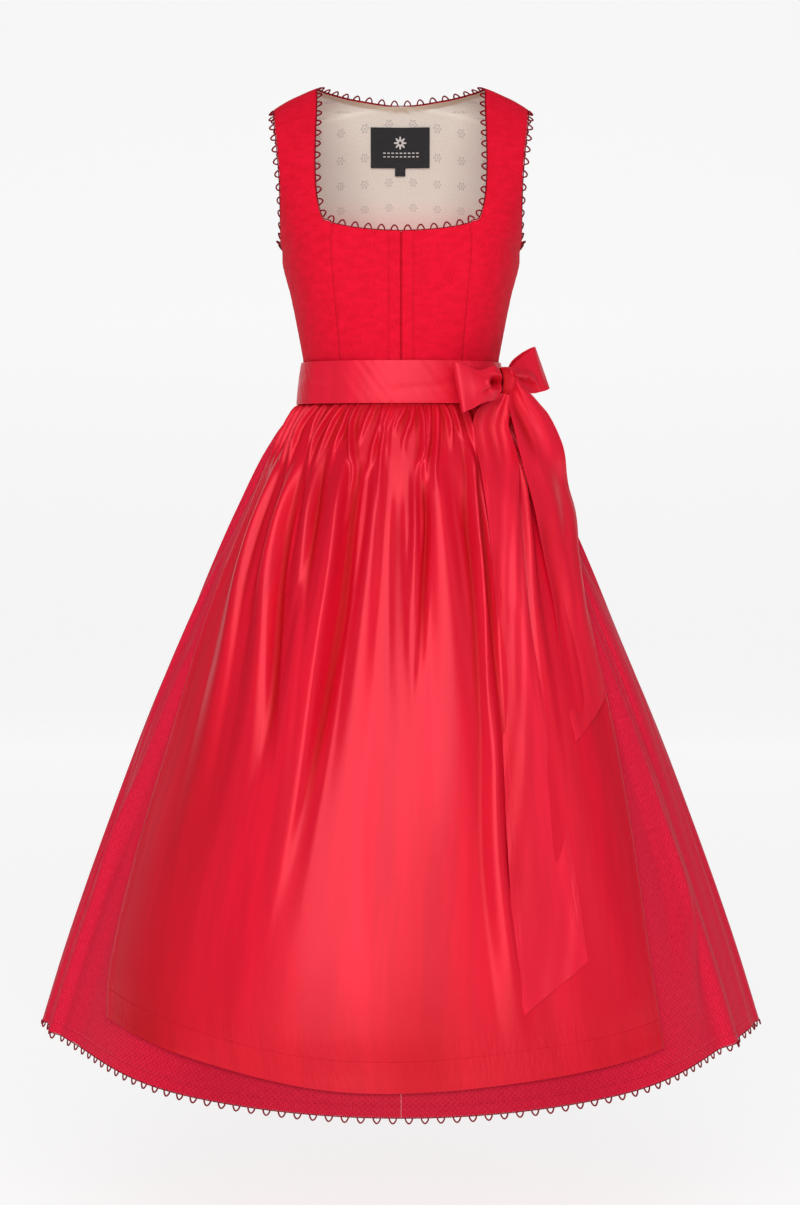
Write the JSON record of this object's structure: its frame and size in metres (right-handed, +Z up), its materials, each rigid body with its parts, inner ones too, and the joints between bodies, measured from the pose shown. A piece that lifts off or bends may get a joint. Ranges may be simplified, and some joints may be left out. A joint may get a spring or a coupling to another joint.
{
  "type": "dirndl dress with apron",
  "caption": "Sleeveless folk dress with a square neck, fitted bodice, gathered ankle-length skirt, satin apron tied in a side bow, and looped braid on its edges.",
  "frame": {"origin": "midway between the tops of the two shoulder straps at their neck edges, where the wearer's shoulders carry the dress", "axes": "+Z up, -Y towards the front, +X towards the wearer's left, the side of the bow"},
  "size_m": [0.9055, 0.6203, 1.2064],
  "materials": {
    "bodice": "matt wool-like weave, crimson",
    "skirt": "softly shining jacquard with tiny dots, red",
    "apron": "shining satin, red",
    "sash": "shining satin, red",
    "braid": "crocheted cord, dark red",
    "lining": "smooth cream lining",
    "label": "woven black"
  },
  "bodies": {
    "root": {"centre_front_left": "bodice", "centre_front_right": "bodice", "side_front_left": "bodice", "side_front_right": "bodice", "side_back_left": "bodice", "side_back_right": "bodice", "back": "bodice", "back_lining": "lining", "label": "label", "size_tab": "label", "skirt_front_right": "skirt", "skirt_front_left": "skirt", "skirt_back_left": "skirt", "skirt_back_right": "skirt", "apron": "apron", "apron_band": "sash", "sash_back": "sash", "bow_knot": "sash", "bow_loop_right": "sash", "bow_loop_left": "sash", "bow_tail_long": "sash", "bow_tail_short": "sash", "neck_braid_front": "braid", "neck_braid_back": "braid", "armhole_braid_left": "braid", "armhole_braid_right": "braid", "hem_braid_front": "braid", "hem_braid_back": "braid"}
  },
  "joints": []
}
